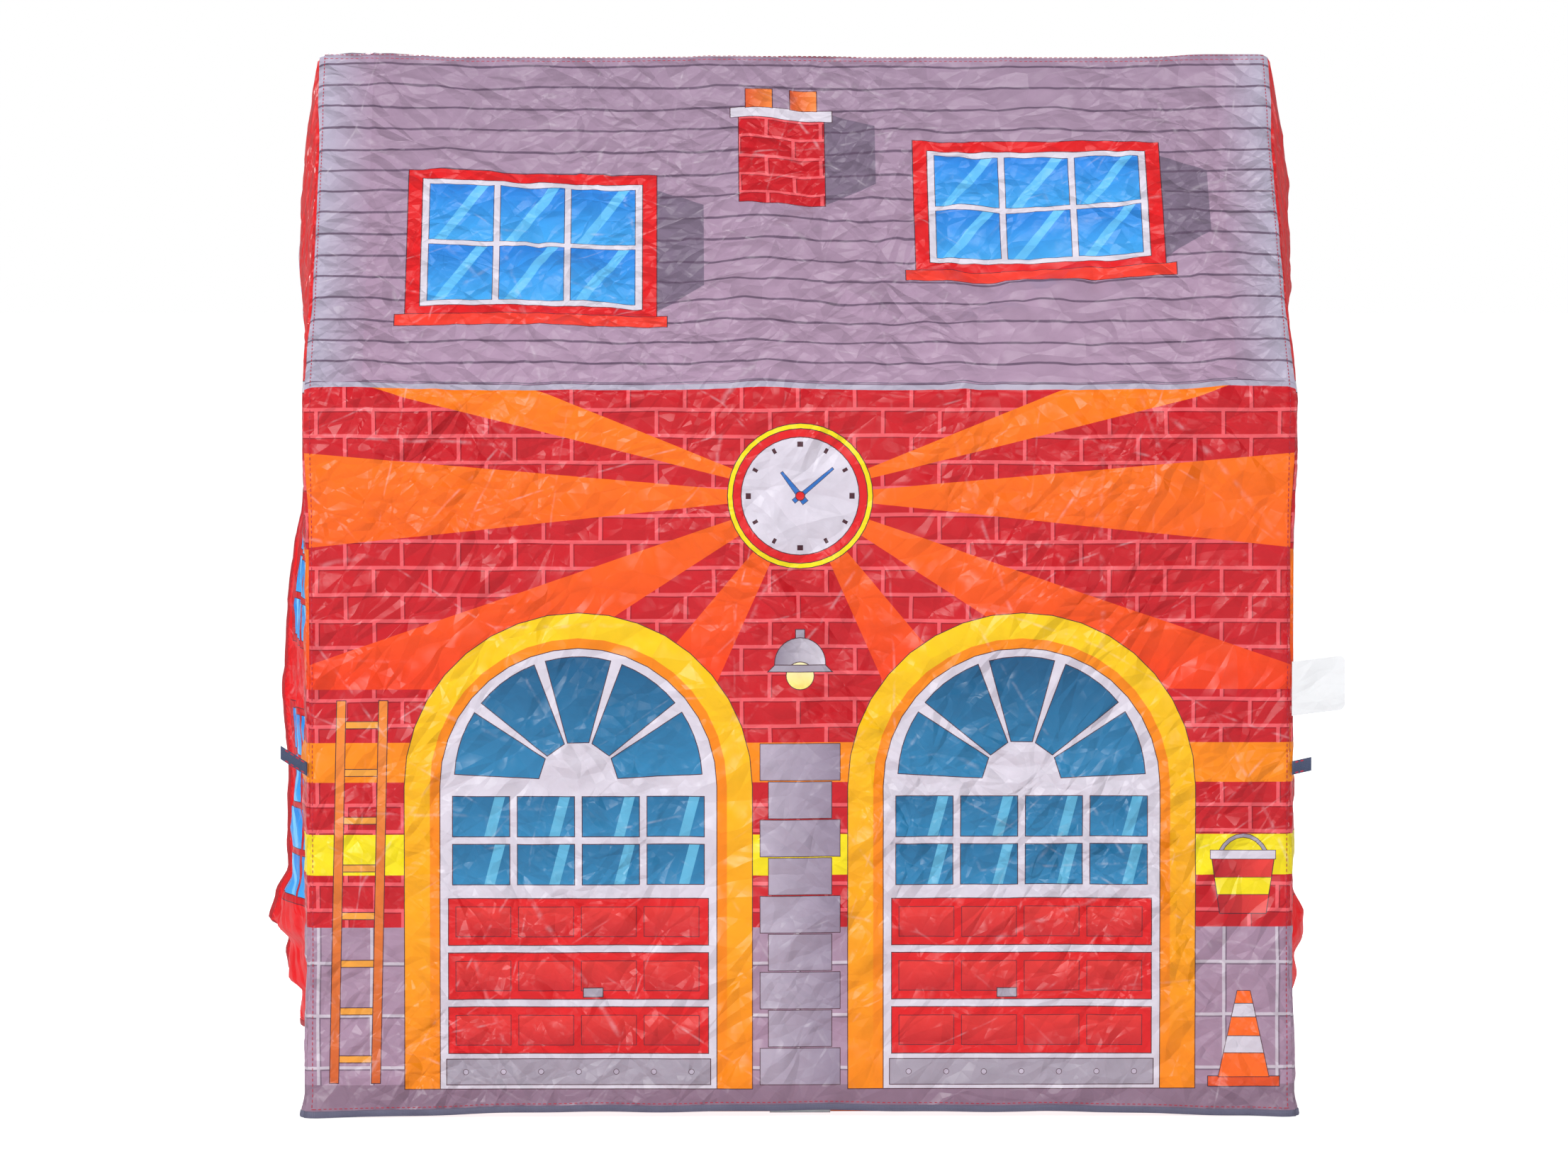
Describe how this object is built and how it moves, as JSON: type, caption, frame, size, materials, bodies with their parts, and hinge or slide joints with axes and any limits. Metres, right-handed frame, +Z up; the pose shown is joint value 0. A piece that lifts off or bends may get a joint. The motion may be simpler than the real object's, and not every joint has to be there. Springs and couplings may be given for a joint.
{
  "type": "children's play tent",
  "caption": "House-shaped play tent: a printed cloth cover over a knock-down frame of plastic tubes and moulded connectors, with a curtained doorway in each gable end.",
  "frame": {"origin": "on the floor, in the middle of the footprint", "axes": "+Z up, +X along the house from the left gable to the right one, +Y from the front wall to the back wall"},
  "size_m": [1.0474, 0.7276, 1.0195],
  "materials": {
    "tube": "extruded orange plastic tube, smooth with a soft gloss",
    "connector": "moulded light grey plastic, satin",
    "cover_cloth": "thin glossy printed polyester taffeta, crumpled",
    "gable_cloth": "thin glossy printed polyester taffeta, bound edges",
    "leaf_cloth": "thin glossy printed polyester taffeta, hanging in soft folds",
    "tape": "woven grey-blue bias tape with a red stitch line",
    "tag": "thin white satin tag, bare"
  },
  "bodies": {
    "tent": {"base_corner_front_left": "connector", "base_corner_front_right": "connector", "base_corner_back_left": "connector", "base_corner_back_right": "connector", "eave_corner_front_left": "connector", "eave_corner_front_right": "connector", "eave_corner_back_left": "connector", "eave_corner_back_right": "connector", "ridge_connector_left": "connector", "ridge_connector_right": "connector", "base_tube_front_left": "tube", "base_tube_front_right": "tube", "base_coupler_front": "connector", "base_tube_back_left": "tube", "base_tube_back_right": "tube", "base_coupler_back": "connector", "eave_tube_front_left": "tube", "eave_tube_front_right": "tube", "eave_coupler_front": "connector", "eave_tube_back_left": "tube", "eave_tube_back_right": "tube", "eave_coupler_back": "connector", "ridge_tube_left": "tube", "ridge_tube_right": "tube", "ridge_coupler": "connector", "threshold_tube_left_front": "tube", "threshold_tube_left_back": "tube", "threshold_tube_right_front": "tube", "threshold_tube_right_back": "tube", "gable_tie_left_front": "tube", "gable_tie_left_back": "tube", "gable_tie_right_front": "tube", "gable_tie_right_back": "tube", "post_lower_front_left": "tube", "post_upper_front_left": "tube", "post_lower_front_right": "tube", "post_upper_front_right": "tube", "post_lower_back_left": "tube", "post_upper_back_left": "tube", "post_lower_back_right": "tube", "post_upper_back_right": "tube", "rafter_front_left": "tube", "rafter_front_right": "tube", "rafter_back_left": "tube", "rafter_back_right": "tube", "cover_front": "cover_cloth", "cover_back": "cover_cloth", "gable_left": "gable_cloth", "gable_right": "gable_cloth"},
    "leaf_left_front": {"door_leaf_left_front": "leaf_cloth"},
    "leaf_left_back": {"door_leaf_left_back": "leaf_cloth"},
    "leaf_right_front": {"door_leaf_right_front": "leaf_cloth"},
    "leaf_right_back": {"door_leaf_right_back": "leaf_cloth"},
    "tab_front_left": {"tie_tab_front_left": "tape"},
    "tab_front_right": {"tie_tab_front_right": "tape"},
    "tab_back_left": {"tie_tab_back_left": "tape"},
    "tab_back_right": {"tie_tab_back_right": "tape"},
    "tag": {"care_tag": "tag"}
  },
  "joints": [
    {"name": "leaf_left_front_swing", "type": "hinge", "parent": "tent", "child": "leaf_left_front", "pos_m": [-0.4722, -0.2191, 0.3], "axis": [0, 0, 1], "range_deg": [-75, 120]},
    {"name": "leaf_left_back_swing", "type": "hinge", "parent": "tent", "child": "leaf_left_back", "pos_m": [-0.4722, 0.2191, 0.3], "axis": [0, 0, -1], "range_deg": [-75, 120]},
    {"name": "leaf_right_front_swing", "type": "hinge", "parent": "tent", "child": "leaf_right_front", "pos_m": [0.4722, -0.2191, 0.3], "axis": [0, 0, -1], "range_deg": [-75, 120]},
    {"name": "leaf_right_back_swing", "type": "hinge", "parent": "tent", "child": "leaf_right_back", "pos_m": [0.4722, 0.2191, 0.3], "axis": [0, 0, 1], "range_deg": [-75, 120]},
    {"name": "tab_front_left_bend", "type": "hinge", "parent": "tent", "child": "tab_front_left", "pos_m": [-0.47084, -0.35614, 0.335], "axis": [0, 0, 1], "range_deg": [-35, 120]},
    {"name": "tab_front_right_bend", "type": "hinge", "parent": "tent", "child": "tab_front_right", "pos_m": [0.47084, -0.35614, 0.335], "axis": [0, 0, -1], "range_deg": [-35, 120]},
    {"name": "tab_back_left_bend", "type": "hinge", "parent": "tent", "child": "tab_back_left", "pos_m": [-0.47084, 0.35614, 0.335], "axis": [0, 0, -1], "range_deg": [-35, 120]},
    {"name": "tab_back_right_bend", "type": "hinge", "parent": "tent", "child": "tab_back_right", "pos_m": [0.47084, 0.35614, 0.335], "axis": [0, 0, 1], "range_deg": [-35, 120]},
    {"name": "tag_bend", "type": "hinge", "parent": "tent", "child": "tag", "pos_m": [0.47035, -0.35565, 0.411], "axis": [0, 0, -1], "range_deg": [-35, 120]}
  ]
}
